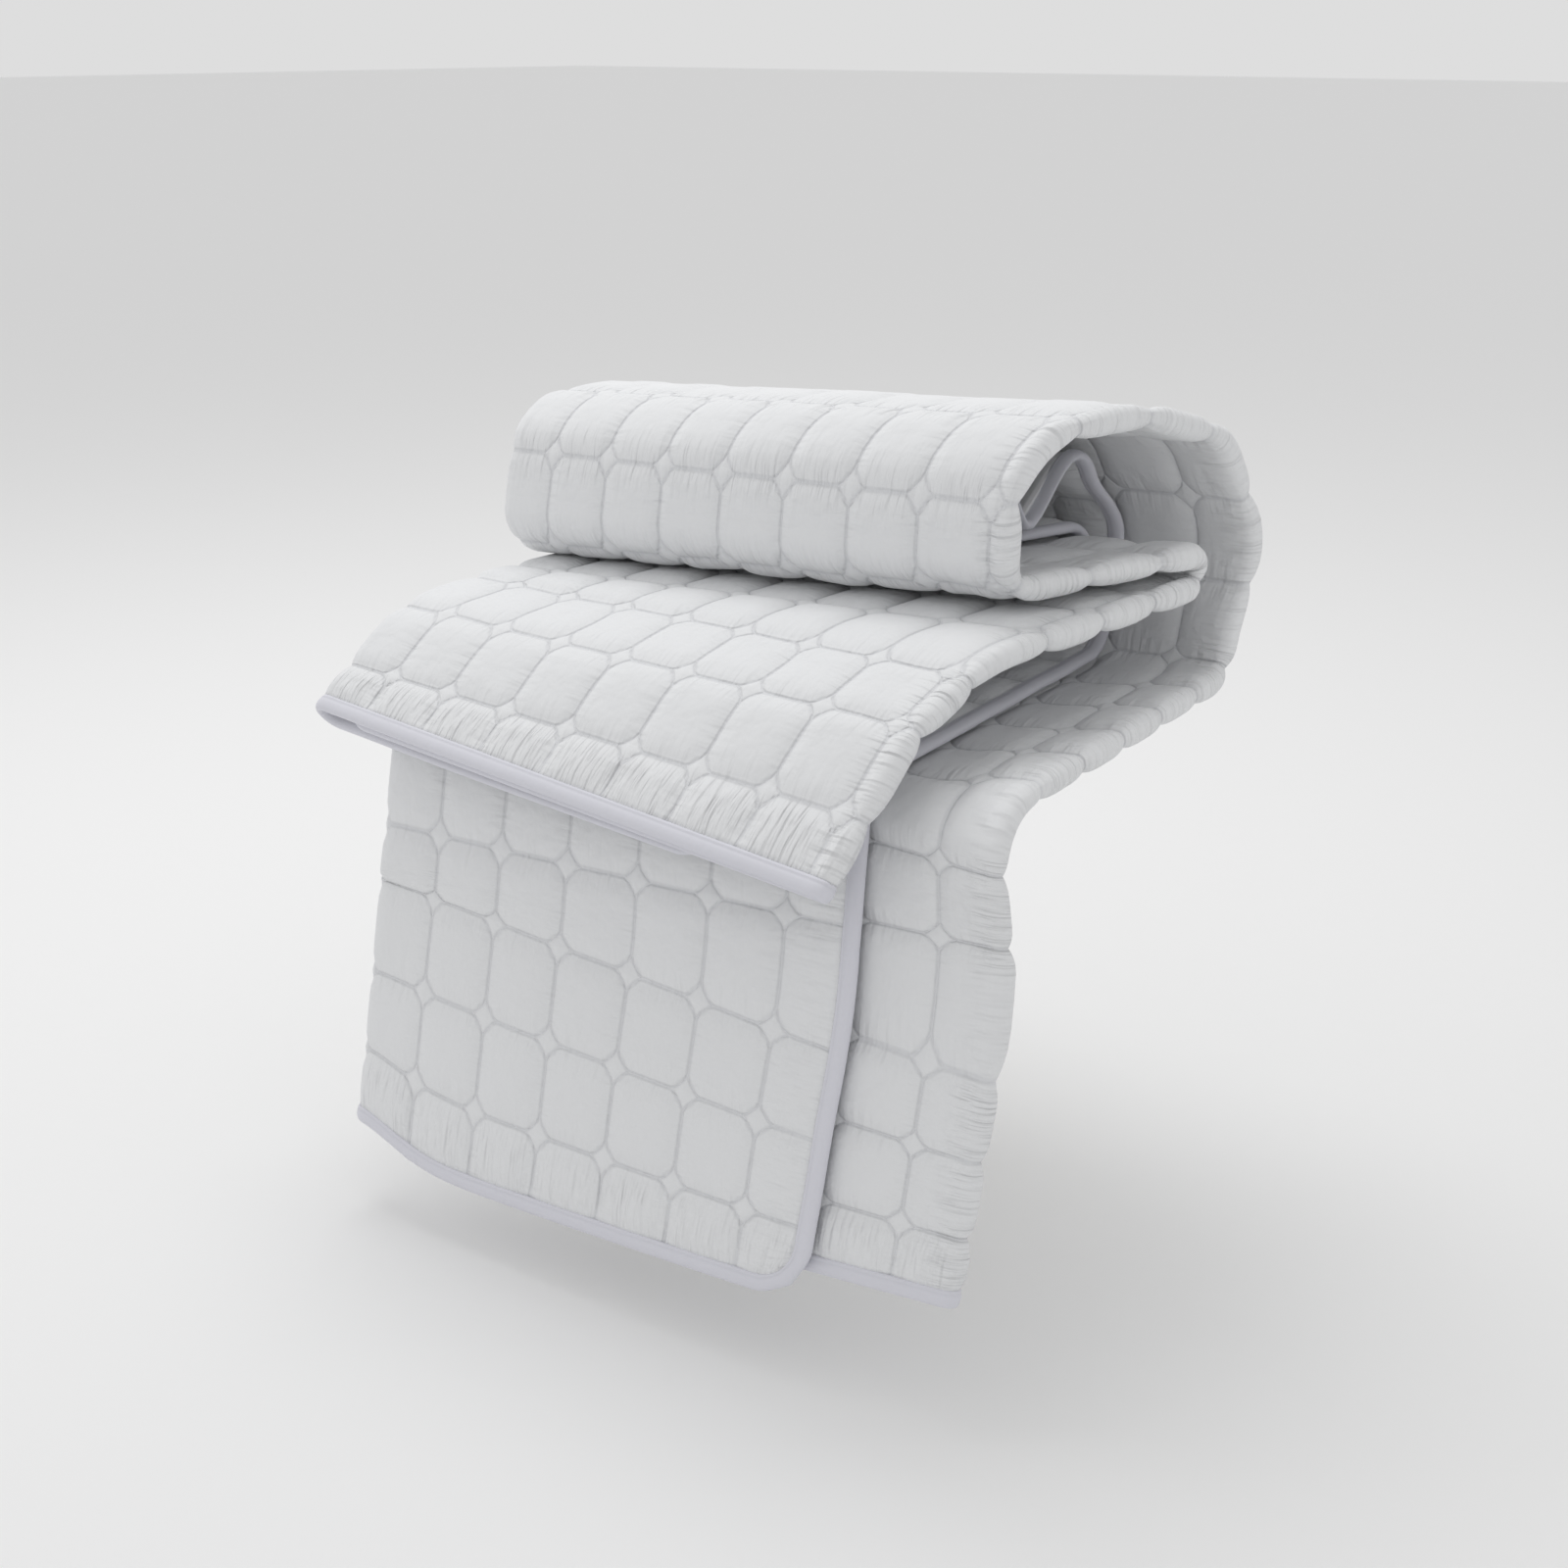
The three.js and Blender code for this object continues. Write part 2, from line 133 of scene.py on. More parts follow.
@dataclass(frozen=True)
class Run:
    """A straight run or a rounded corner of one end's path."""

    start: Array
    end: Array
    length: float
    corner: int
    centre: Array | None = None
    angle: float = 0.0
    before: Array | None = None
    after: Array | None = None

    @staticmethod
    def turned(first: Array, last: Array, angle: float, share: Array) -> Array:
        """Turns evenly from one vector to another.

        Args:
            first: Vector at the start.
            last: Vector at the end, at the given angle to the first.
            angle: Angle between them.
            share: Where to look, from 0 to 1.

        Returns:
            A vector for each share.
        """
        from_first = np.sin((1 - share) * angle)[:, None] * first
        from_last = np.sin(share * angle)[:, None] * last
        return (from_first + from_last) / math.sin(angle)

    def at(self, share: Array) -> tuple[Array, Array]:
        """Finds places on the run.

        Args:
            share: Shares of the run's length.

        Returns:
            The points and the headings there.
        """
        if self.centre is None:
            heading = unit(self.end - self.start)
            points = self.start + (self.end - self.start) * share[:, None]
            return points, np.tile(heading, (len(share), 1))
        radii = self.turned(self.start - self.centre, self.end - self.centre, self.angle, share)
        return radii + self.centre, unit(self.turned(self.before, self.after, self.angle, share))


@dataclass(frozen=True)
class Stations:
    """The band at a number of distances along its length."""

    left: Array
    right: Array
    left_heading: Array
    right_heading: Array
    loose: Array
    lift: Array


class BandPath:
    """The line that the folded band follows from its hanging hem to the flap's hem."""

    def __init__(self, corners: Sequence[PathCorner], middle: float) -> None:
        """Works out the runs of both ends.

        Args:
            corners: The path's corners, in order.
            middle: Height of the middle layer above the band's outer face.
        """
        self.corners = tuple(corners)
        self.middle = middle
        self.runs = {side: self._runs_of(side) for side in Side}
        pairs = zip(self.runs[Side.LEFT], self.runs[Side.RIGHT])
        self.lengths = np.array([(left.length + right.length) / 2 for left, right in pairs])
        self.starts = np.concatenate([[0.0], np.cumsum(self.lengths)])
        self.length = float(self.starts[-1])

    def _runs_of(self, side: Side) -> list[Run]:
        """Lists the straight runs and rounded corners of one end, in order."""
        points = [np.array(getattr(corner, side.value)) for corner in self.corners]
        runs: list[Run] = []
        start = points[0]
        for i in range(1, len(points) - 1):
            before = unit(points[i] - points[i - 1])
            after = unit(points[i + 1] - points[i])
            angle = math.acos(float(np.clip(before @ after, -1, 1)))
            radius = self.corners[i].radius
            reach = radius * math.tan(angle / 2)
            enter, leave = points[i] - before * reach, points[i] + after * reach
            centre = points[i] + unit(after - before) * radius / math.cos(angle / 2)
            layers_inside = before[1] * after[2] - before[2] * after[1] > 0
            bend = radius + (-self.middle if layers_inside else self.middle)
            runs.append(Run(start, enter, float(np.linalg.norm(enter - start)), i - 1))
            runs.append(Run(enter, leave, angle * bend, i, centre, angle, before, after))
            start = leave
        last = points[-1]
        runs.append(Run(start, last, float(np.linalg.norm(last - start)), len(points) - 2))
        return runs

    def start_of(self, place: str) -> float:
        """Distance along the band at which a named corner's bend starts."""
        names = [corner.place for corner in self.corners]
        return float(self.starts[2 * names.index(place) - 1])

    def bends(self, step_angle: float) -> Iterable[tuple[float, float, int]]:
        """Yields the start, the length and the number of steps of every rounded corner."""
        for i, (left, right) in enumerate(zip(self.runs[Side.LEFT], self.runs[Side.RIGHT])):
            if left.centre is not None:
                steps = math.ceil(max(left.angle, right.angle) / step_angle)
                yield float(self.starts[i]), float(self.lengths[i]), steps

    def stations(self, distances: Array) -> Stations:
        """Finds both ends of the band at a number of distances.

        Args:
            distances: Distances along the band from the hanging hem.

        Returns:
            The ends, headings, looseness and lift there.
        """
        index = np.searchsorted(self.starts[1:-1], distances, side="left")
        share = (distances - self.starts[index]) / self.lengths[index]
        blend = smooth_blend(share, 0.0, 1.0)
        count = len(distances)
        left, right, left_heading, right_heading = (np.zeros((count, 3)) for _ in range(4))
        loose, lift = np.zeros(count), np.zeros(count)
        for i, (left_run, right_run) in enumerate(zip(self.runs[Side.LEFT], self.runs[Side.RIGHT])):
            here = index == i
            if not here.any():
                continue
            left[here], left_heading[here] = left_run.at(share[here])
            right[here], right_heading[here] = right_run.at(share[here])
            first = self.corners[left_run.corner]
            last = first if left_run.centre is not None else self.corners[left_run.corner + 1]
            loose[here] = mix(first.loose, last.loose, blend[here])
            lift[here] = mix(first.lift, last.lift, blend[here])
        return Stations(left, right, left_heading, right_heading, loose, lift)


@dataclass(frozen=True)
class PadForm:
    """The pad's folds and windings: where each place of the flat pad lies."""

    nominal_width: float = 0.628
    layer_face: float = 0.004
    layer_strip: float = 0.0155
    layer_front: float = 0.0285
    strip_width: float = 0.132
    inner_edge_inset: float = 0.03
    left_fold_to_first_column: float = 0.066
    hem_to_first_row: float = 0.052
    hem_slip: float = 0.027
    hem_slip_reach: float = 0.4
    corner_round: float = 0.036
    loose_at_fold: float = 0.35
    loose_reach: float = 0.2
    lift_reach: float = 0.12
    wave_share: float = 0.28
    wave_length: float = 0.105
    fold_rise: float = 0.024
    fold_rise_reach: float = 0.075
    fold_rise_height: float = 0.16
    fold_steps: int = 8
    bend_step: float = 0.2
    path: BandPath = field(default_factory=lambda: BandPath(WOUND_PATH, PadForm.layer_strip))

    @property
    def right_fold(self) -> float:
        """Radius of the fold between the strip layer and the face layer."""
        return (self.layer_strip - self.layer_face) / 2

    @property
    def left_fold(self) -> float:
        """Radius of the fold between the face layer and the front layer."""
        return (self.layer_front - self.layer_face) / 2

    @property
    def part_lengths(self) -> Array:
        """Flat widths of the five layers and folds."""
        return np.array([
            self.nominal_width - self.right_fold - self.inner_edge_inset,
            math.pi * self.right_fold,
            self.nominal_width - self.right_fold - self.left_fold,
            math.pi * self.left_fold,
            self.nominal_width - self.strip_width - self.left_fold,
        ])

    @property
    def part_starts(self) -> Array:
        """Flat places where the five layers and folds start, and the last one ends."""
        return np.concatenate([[0.0], np.cumsum(self.part_lengths)])

    @property
    def width(self) -> float:
        """Flat width of the pad."""
        return float(self.part_starts[-1])

    @property
    def length(self) -> float:
        """Flat length of the pad."""
        return self.path.length

    def fold_places(self) -> list[float]:
        """Flat places across the pad at every step of its two folds."""
        return [
            float(self.part_starts[fold.value] + self.part_lengths[fold.value] * step / self.fold_steps)
            for fold in (Layer.RIGHT_FOLD, Layer.LEFT_FOLD)
            for step in range(self.fold_steps + 1)
        ]

    def bend_places(self) -> list[float]:
        """Flat places along the pad at every step of its rounded corners."""
        return [
            start + length * step / steps
            for start, length, steps in self.path.bends(self.bend_step)
            for step in range(steps + 1)
        ]

    def round_corners(self, u: Array, v: Array) -> tuple[Array, Array]:
        """Moves the corner squares of the flat pad onto quarter discs.

        Args:
            u: Flat places across the pad.
            v: Flat places along the pad.

        Returns:
            The places with the pad's corners rounded.
        """
        near_u, near_v = np.minimum(u, self.width - u), np.minimum(v, self.length - v)
        corner = (near_u < self.corner_round) & (near_v < self.corner_round)
        p = np.clip(1 - near_u / self.corner_round, 0, 1)
        q = np.clip(1 - near_v / self.corner_round, 0, 1)
        inset_u = self.corner_round * (1 - p * np.sqrt(1 - q * q / 2))
        inset_v = self.corner_round * (1 - q * np.sqrt(1 - p * p / 2))
        round_u = np.where(u < self.width / 2, inset_u, self.width - inset_u)
        round_v = np.where(v < self.length / 2, inset_v, self.length - inset_v)
        return np.where(corner, round_u, u), np.where(corner, round_v, v)

    def slip(self, u: Array, v: Array) -> Array:
        """How far the cloth has slipped down beside the hanging hem; its fold draws it up."""
        across = np.clip((u - self.part_starts[4]) / self.part_lengths[4], 0, None)
        slipped = self.hem_slip * across * (1 - smooth_blend(v, 0.0, self.hem_slip_reach))
        fold = self.part_starts[3] + self.part_lengths[3] / 2
        near_fold = np.exp(-(((u - fold) / self.fold_rise_reach) ** 2))
        return slipped - self.fold_rise * near_fold * (1 - smooth_blend(v, 0.0, self.fold_rise_height))

    def across(self, u: Array, v: Array, width: Array, at: Stations) -> tuple[Array, ...]:
        """Finds places across the band.

        Args:
            u: Flat places across the pad.
            v: Flat places along the pad.
            width: The band's width there.
            at: The band's stations there.

        Returns:
            Distance from the left fold, height above the outer face, and the two parts of the
            direction that the cloth faces.
        """
        part = np.searchsorted(self.part_starts[1:-1], u, side="left")
        share = (u - self.part_starts[part]) / self.part_lengths[part]
        left_radius = self.left_fold + at.loose * self.loose_at_fold / 2
        x, n = np.zeros_like(u), np.zeros_like(u)
        face_x, face_n = np.zeros_like(u), np.ones_like(u)

        here = part == Layer.STRIP.value
        x[here] = mix(self.inner_edge_inset, width[here] - self.right_fold, share[here])
        n[here] = self.layer_strip
        here = part == Layer.FACE.value
        x[here] = mix(width[here] - self.right_fold, left_radius[here], share[here])
        n[here] = self.layer_face
        face_n[here] = -1.0
        n += at.lift * (part < Layer.LEFT_FOLD.value) * smooth_blend(x, width - self.lift_reach, width)
        here = part == Layer.FRONT.value
        x[here] = mix(left_radius[here], width[here] - self.strip_width, share[here])
        hang = smooth_blend(x[here], left_radius[here], self.loose_reach)
        edge = width[here] - self.strip_width
        wave = self.wave_share * np.sin(2 * np.pi * v[here] / self.wave_length)
        wave *= smooth_blend(x[here], edge - self.loose_reach, edge)
        n[here] = self.layer_front + at.loose[here] * (mix(self.loose_at_fold, 1.0, hang) + wave)
        for layer, sign in ((Layer.RIGHT_FOLD, 1.0), (Layer.LEFT_FOLD, -1.0)):
            here = part == layer.value
            angle = math.pi * (sign * 0.5 - share[here])
            if sign > 0:
                radius, centre = self.right_fold, width[here] - self.right_fold
                rise = at.lift[here]
            else:
                radius, centre = left_radius[here], left_radius[here]
                rise = 0.0
            x[here] = centre + radius * np.cos(angle)
            n[here] = self.layer_face + radius + radius * np.sin(angle) + rise
            face_x[here], face_n[here] = np.cos(angle), np.sin(angle)
        return x, n, face_x, face_n

    def place(self, flat_u: Array, flat_v: Array) -> tuple[Array, Array]:
        """Places the pad's middle surface.

        Args:
            flat_u: Flat places across the pad.
            flat_v: Flat places along the pad.

        Returns:
            The points and the directions that the quilted side faces there.
        """
        u, v = self.round_corners(flat_u, flat_v)
        at = self.path.stations(v - self.slip(u, v))
        along = at.right - at.left
        width = np.linalg.norm(along, axis=1)
        along = along / width[:, None]
        x, n, face_x, face_n = self.across(u, v, width, at)
        heading = unit(mix(at.left_heading, at.right_heading, (x / width)[:, None]))
        normal = unit(np.stack([np.zeros(len(u)), -heading[:, 2], heading[:, 1]], axis=1))
        points = at.left + along * x[:, None] + normal * n[:, None]
        facing = unit(along * face_x[:, None] + normal * face_n[:, None])
        return points + PILE_ORIGIN, facing


@dataclass(frozen=True)
class Quilting:
    """The stitched pattern: eight-sided cells with a small diamond at every crossing.

    The outer layers are drawn a little wider than the front one, from the left fold on.
    """

    COLUMNS = range(-20, 10)
    ROWS = range(-1, 32)
    SCATTER = (12.9898, 78.233, 43758.5453)

    left_fold_start: float
    pitches_to_fold: float
    hem_to_first_row: float
    front_pitch: float = 0.074
    back_pitch: float = 0.0777
    row_pitch: float = 0.0754
    diamond_tip: float = 0.0135
    crown: float = 0.0034
    seam_depth: float = 0.003
    diamond_rise: float = 0.0024
    fullness: float = 3.4
    uneven: float = 0.28

    @classmethod
    def for_pad(cls, form: PadForm) -> "Quilting":
        """Sets out the pattern for a pad."""
        to_column = form.left_fold_to_first_column - form.left_fold
        return cls(float(form.part_starts[3]), to_column / cls.back_pitch, form.hem_to_first_row)

    def columns_at(self, u: Array) -> Array:
        """Stitched columns up to each flat place, counted from the one beside the left fold."""
        past = u - self.left_fold_start
        return self.pitches_to_fold + past / np.where(past < 0, self.back_pitch, self.front_pitch)

    def rows_at(self, v: Array) -> Array:
        """Stitched rows up to each flat place, counted from the first one."""
        return (v - self.hem_to_first_row) / self.row_pitch

    def column_places(self) -> list[float]:
        """Flat places of every stitched column that the pad may hold."""
        past = [count - self.pitches_to_fold for count in self.COLUMNS]
        pitches = [self.back_pitch if count < 0 else self.front_pitch for count in past]
        return [self.left_fold_start + count * pitch for count, pitch in zip(past, pitches)]

    def row_places(self) -> list[float]:
        """Flat places of every stitched row that the pad may hold."""
        return [self.hem_to_first_row + self.row_pitch * count for count in self.ROWS]

    def from_seams(self, u: Array, v: Array) -> tuple[Array, Array]:
        """Distances from the nearest column line and the nearest row line, with their signs."""
        columns, rows = self.columns_at(u), self.rows_at(v)
        wide = np.where(u < self.left_fold_start, self.back_pitch, self.front_pitch)
        return (columns - np.round(columns)) * wide, (rows - np.round(rows)) * self.row_pitch

    def stitch_away(self, u: Array, v: Array) -> tuple[Array, Array]:
        """Finds how far each place is from the nearest stitching.

        Args:
            u: Flat places across the pad.
            v: Flat places along the pad.

        Returns:
            The distance, and whether the place is inside a diamond.
        """
        du, dv = (np.abs(part) for part in self.from_seams(u, v))
        slant = (du + dv - self.diamond_tip) / math.sqrt(2)
        inside = slant < 0
        return np.where(inside, -slant, np.minimum(np.minimum(du, dv), slant)), inside

    def puffiness(self, u: Array, v: Array) -> Array:
        """How full each cell is, a little different from cell to cell."""
        by_column, by_row, spread = self.SCATTER
        wobble = by_column * np.floor(self.columns_at(u)) + by_row * np.floor(self.rows_at(v))
        wobble = np.sin(wobble) * spread
        return 1 - self.uneven * (wobble - np.floor(wobble))

    def relief(self, u: Array, v: Array) -> Array:
        """Height of the quilted face above the pad's plain face.

        Args:
            u: Flat places across the pad.
            v: Flat places along the pad.

        Returns:
            The height, below 0 at the stitching.
        """
        away, inside = self.stitch_away(u, v)
        cell = 1 - (1 - np.clip(away / (self.front_pitch / 2), 0, 1)) ** self.fullness
        cell *= (self.crown + self.seam_depth) * self.puffiness(u, v)
        reach = self.diamond_tip / math.sqrt(2)
        diamond = self.diamond_rise * (1 - (1 - np.clip(away / reach, 0, 1)) ** 2)
        return np.where(inside, diamond, cell) - self.seam_depth


@dataclass(frozen=True)
class Crease:
    """A soft trough or ridge along a line on the flat pad, below 0 for a trough."""

    start: Pair
    end: Pair
    reach: float
    height: float
    blunt_end: float = 0.04

    def relief(self, u: Array, v: Array) -> Array:
        """Height of the crease at each flat place."""
        start, end = np.array(self.start), np.array(self.end)
        run = end - start
        share = np.clip(((u - start[0]) * run[0] + (v - start[1]) * run[1]) / (run @ run), 0, 1)
        away = np.hypot(u - start[0] - share * run[0], v - start[1] - share * run[1])
        fade = np.sin(np.pi * np.clip(share, self.blunt_end, 1 - self.blunt_end))
        return self.height * fade * np.exp(-((away / self.reach) ** 2))


CREASES = tuple(Crease(*row) for row in (
    ((1.205, 1.89), (1.06, 2.01), 0.022, 0.0022),
    ((1.15, 1.85), (0.95, 1.925), 0.026, -0.0022),
    ((1.000, 1.93), (0.87, 2.035), 0.02, 0.0018),
    ((0.84, 1.85), (0.7, 1.96), 0.024, -0.0024),
    ((0.76, 1.94), (0.64, 2.04), 0.018, 0.002),
    ((0.66, 1.84), (0.625, 1.98), 0.016, -0.0026),
    ((1.18, 1.3), (1.13, 1.44), 0.018, 0.0018),
    ((0.98, 1.27), (0.93, 1.43), 0.02, -0.002),
    ((0.82, 1.29), (0.76, 1.47), 0.022, 0.0022),
    ((0.7, 1.26), (0.64, 1.42), 0.016, -0.0026),
    ((1.27, 0.05), (1.33, 0.33), 0.02, -0.002),
    ((1.42, 0.02), (1.45, 0.26), 0.026, 0.002),
    ((1.56, 0.12), (1.5, 0.35), 0.022, -0.0022),
    ((1.69, 0.03), (1.66, 0.3), 0.018, 0.002),
    ((0.585, 0.38), (0.48, 0.45), 0.016, -0.0028),
    ((0.59, 0.43), (0.5, 0.52), 0.014, 0.0024),
    ((0.59, 0.54), (0.51, 0.62), 0.014, -0.0024),
    ((0.58, 0.06), (0.52, 0.3), 0.02, 0.0022),
))


@dataclass(frozen=True)
class QuiltedCloth:
    """White brushed polyester face cloth, matt, with gathers beside its stitching and painted shade
    along the stitching.
    """

    name: str = "quilted_cloth"
    white: Point = (0.79, 0.797, 0.808)
    # painted shade: the darker colour the cloth takes at the stitching, standing in for the shade in
    # the seams
    painted_seam_shade: Point = (0.728, 0.736, 0.754)
    painted_seam_shade_reach: float = 0.0035
    roughness: float = 0.85
    sheen: float = 0.1
    gather_spacing: float = 0.006
    gather_length: float = 0.045
    gather_height: float = 0.0052
    crumple_size: float = 0.019
    crumple_height: float = 0.0021
    stitch_groove: float = 0.0011
    groove_reach: float = 0.0026
    stitch_step: float = 0.0034
    stitch_depth: float = 1.2
    stitch_uneven: float = 0.5
    fold_detail: float = 1.5
    crumple_detail: float = 2.5
    weave: float = 0.0008
    weave_height: float = 0.00005

    def material(self) -> bpy.types.Material:
        """Builds the cloth's material."""
        kit = NodeKit(self.name)
        flat = kit.add("ShaderNodeUVMap", uv_map=QuiltedPad.FLAT)
        rows = kit.attribute(QuiltedPad.ROW_GATHERS)
        columns = kit.attribute(QuiltedPad.COLUMN_GATHERS)
        away = kit.attribute(QuiltedPad.STITCH_AWAY)
        fine, long = 1 / self.gather_spacing, 1 / self.gather_length
        across = kit.noise(kit.scaled(flat.outputs[0], (fine, long, 1)), 1.0, self.fold_detail)
        along = kit.noise(kit.scaled(flat.outputs[0], (long, fine, 1)), 1.0, self.fold_detail)
        crumple = kit.noise(flat.outputs[0], 1 / self.crumple_size, self.crumple_detail)
        threads = kit.noise(flat.outputs[0], 1 / self.weave, 1.0)
        beads = kit.noise(flat.outputs[0], 1 / self.stitch_step, 0.0)
        groove = kit.fade(away, 0.0, self.groove_reach)
        height = kit.math("MULTIPLY", across, rows)
        height = kit.math("MULTIPLY_ADD", along, columns, height)
        height = kit.math("MULTIPLY", height, self.gather_height)
        height = kit.math("MULTIPLY_ADD", crumple, self.crumple_height, height)
        height = kit.math("MULTIPLY_ADD", threads, self.weave_height, height)
        stitches = kit.math("MULTIPLY_ADD", beads, -self.stitch_uneven, self.stitch_depth)
        depth = kit.math("MULTIPLY", kit.math("MULTIPLY", groove, stitches), -self.stitch_groove)
        # painted shade: the colour darkens from white towards the stitching lines, standing in for the
        # shade in the seams
        shade = kit.blend(kit.fade(away, 0.0, self.painted_seam_shade_reach), self.white, self.painted_seam_shade)
        kit.bump(kit.math("ADD", height, depth))
        kit.finish(shade, self.roughness, self.sheen)
        return kit.material


@dataclass(frozen=True)
class GrainedFinish:
    """A plain finish with a fine grain, on a flat map or else by place."""

    name: str
    colour: Point
    roughness: float
    grain: float
    grain_height: float
    detail: float = 2.0
    sheen: float = 0.0
    flat_map: str = ""

    def material(self) -> bpy.types.Material:
        """Builds the finish's material."""
        kit = NodeKit(self.name)
        if self.flat_map:
            place = kit.add("ShaderNodeUVMap", uv_map=self.flat_map).outputs[0]
        else:
            place = kit.add("ShaderNodeNewGeometry").outputs["Position"]
        grain = kit.noise(place, 1 / self.grain, self.detail)
        kit.bump(kit.math("MULTIPLY", grain, self.grain_height))
        kit.finish(self.colour, self.roughness, self.sheen)
        return kit.material


BACKING_CLOTH = GrainedFinish(
    "backing_cloth", (0.72, 0.725, 0.735), 0.88, 0.002, 0.0001, detail=3.0, sheen=0.05, flat_map="flat")
SATIN_PAINT = GrainedFinish("satin_paint", (0.78, 0.77, 0.74), 0.42, 0.0018, 0.00003)
STUDIO_FLOOR = GrainedFinish("studio_floor", (0.88, 0.88, 0.88), 0.9, 0.025, 0.0002)


@dataclass(frozen=True)
class BindingTape:
    """Cool white woven tape with fine ribs across it and soft puckers."""

    name: str = "binding_tape"
    white: Point = (0.7, 0.7, 0.755)
    roughness: float = 0.7
    sheen: float = 0.1
    rib: float = 0.0011
    ribs_across: float = 60.0
    rib_height: float = 0.00008
    pucker_size: float = 0.009
    puckers_across: float = 40.0
    pucker_height: float = 0.0006

    def material(self) -> bpy.types.Material:
        """Builds the tape's material."""
        kit = NodeKit(self.name)
        flat = kit.add("ShaderNodeUVMap", uv_map=EdgeBinding.AROUND)
        ribs = kit.noise(kit.scaled(flat.outputs[0], (1 / self.rib, self.ribs_across, 1)), 1.0, 1.0)
        pucker_scale = (1 / self.pucker_size, self.puckers_across, 1)
        puckers = kit.noise(kit.scaled(flat.outputs[0], pucker_scale), 1.0, 2.0)
        height = kit.math("MULTIPLY", ribs, self.rib_height)
        kit.bump(kit.math("MULTIPLY_ADD", puckers, self.pucker_height, height))
        kit.finish(self.white, self.roughness, self.sheen)
        return kit.material


class NodeKit:
    """Adds the nodes of one material."""

    SPECULAR = 0.3

    def __init__(self, name: str) -> None:
        """Starts a material with one principled shader."""
        self.material = bpy.data.materials.new(name)
        self.material.use_nodes = True
        self.tree = self.material.node_tree
        self.tree.nodes.clear()
        self.shader = self.add("ShaderNodeBsdfPrincipled")
        output = self.add("ShaderNodeOutputMaterial")
        self.tree.links.new(self.shader.outputs["BSDF"], output.inputs["Surface"])

    def add(self, kind: str, **settings: object) -> bpy.types.Node:
        """Adds a node with its settings."""
        node = self.tree.nodes.new(kind)
        for name, value in settings.items():
            setattr(node, name, value)
        return node

    def connect(self, value: object, socket: Socket) -> None:
        """Links a socket, or sets a number on it."""
        if isinstance(value, Socket):
            self.tree.links.new(value, socket)
        else:
            socket.default_value = value

    def attribute(self, name: str) -> Socket:
        """Reads a number that the mesh holds at its points."""
        return self.add("ShaderNodeAttribute", attribute_name=name).outputs["Fac"]

    def scaled(self, vector: Socket, scale: Point) -> Socket:
        """Scales a vector by three numbers."""
        node = self.add("ShaderNodeVectorMath", operation="MULTIPLY")
        self.connect(vector, node.inputs[0])
        node.inputs[1].default_value = scale
        return node.outputs[0]

    def noise(self, vector: Socket, scale: float, detail: float) -> Socket:
        """Adds cloudy noise, about 0.5 on average."""
        node = self.add("ShaderNodeTexNoise")
        self.connect(vector, node.inputs["Vector"])
        node.inputs["Scale"].default_value = scale
        node.inputs["Detail"].default_value = detail
        return node.outputs["Fac"]

    def fade(self, value: Socket, full: float, none: float) -> Socket:
        """Goes smoothly from 1 where a number is at full to 0 where it reaches none."""
        node = self.add("ShaderNodeMapRange", interpolation_type="SMOOTHSTEP")
        self.connect(value, node.inputs["Value"])
        for name, number in (("From Min", full), ("From Max", none), ("To Min", 1.0), ("To Max", 0.0)):
            node.inputs[name].default_value = number
        return node.outputs[0]

    def math(self, operation: str, *values: object) -> Socket:
        """Adds one operation on one to three numbers."""
        node = self.add("ShaderNodeMath", operation=operation)
        for value, socket in zip(values, node.inputs):
            self.connect(value, socket)
        return node.outputs[0]

    def blend(self, share: Socket, none: Point, full: Point) -> Socket:
        """Blends from one colour to another as a share rises from 0 to 1."""
        node = self.add("ShaderNodeMix", data_type="RGBA")
        self.connect(share, node.inputs[0])
        colours = [socket for socket in node.inputs if socket.type == "RGBA"]
        colours[0].default_value = (*none, 1)
        colours[1].default_value = (*full, 1)
        return next(socket for socket in node.outputs if socket.type == "RGBA")

    def bump(self, height: Socket) -> None:
        """Raises the surface by a height in metres."""
        node = self.add("ShaderNodeBump")
        node.inputs["Strength"].default_value = 1.0
        node.inputs["Distance"].default_value = 1.0
        self.connect(height, node.inputs["Height"])
        self.connect(node.outputs[0], self.shader.inputs["Normal"])

    def finish(self, colour: object, roughness: float, sheen: float) -> None:
        """Sets the shader's colour, roughness and sheen."""
        base = colour if isinstance(colour, Socket) else (*colour, 1)
        self.connect(base, self.shader.inputs["Base Color"])
        self.shader.inputs["Roughness"].default_value = roughness
        self.shader.inputs["Sheen Weight"].default_value = sheen
        self.shader.inputs["Specular IOR Level"].default_value = self.SPECULAR


